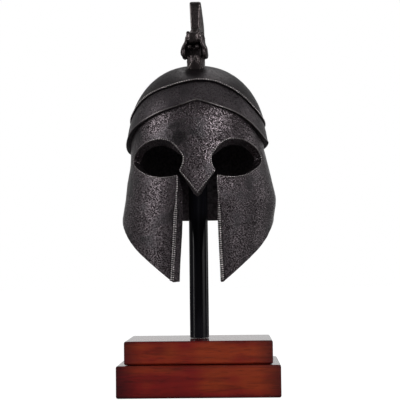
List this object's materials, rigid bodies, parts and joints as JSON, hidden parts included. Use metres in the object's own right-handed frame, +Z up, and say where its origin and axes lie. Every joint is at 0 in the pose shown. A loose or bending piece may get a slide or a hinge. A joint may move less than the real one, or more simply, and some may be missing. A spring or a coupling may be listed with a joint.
{
  "type": "greek helmet on a display stand",
  "caption": "Dark bronze Greek helmet with long cheek pieces, a ram's head and a tall crest, on a black post and a wooden base.",
  "frame": {"origin": "centre of the base's underside", "axes": "+Z up, -Y the way the helmet faces, +X to the right of someone who looks at its face"},
  "size_m": [0.14, 0.2084, 0.3476],
  "materials": {
    "bronze": "dark patina, coarse cast grain with worn rims",
    "post_lacquer": "gloss black",
    "stained_wood": "mahogany stain under gloss lacquer"
  },
  "bodies": {
    "root": {"face_shell": "bronze", "brow_band": "bronze", "skull_cap": "bronze", "crest_socket": "bronze", "ram_head": "bronze", "crest": "bronze", "post": "post_lacquer", "base_upper": "stained_wood", "base_lower": "stained_wood"}
  },
  "joints": []
}
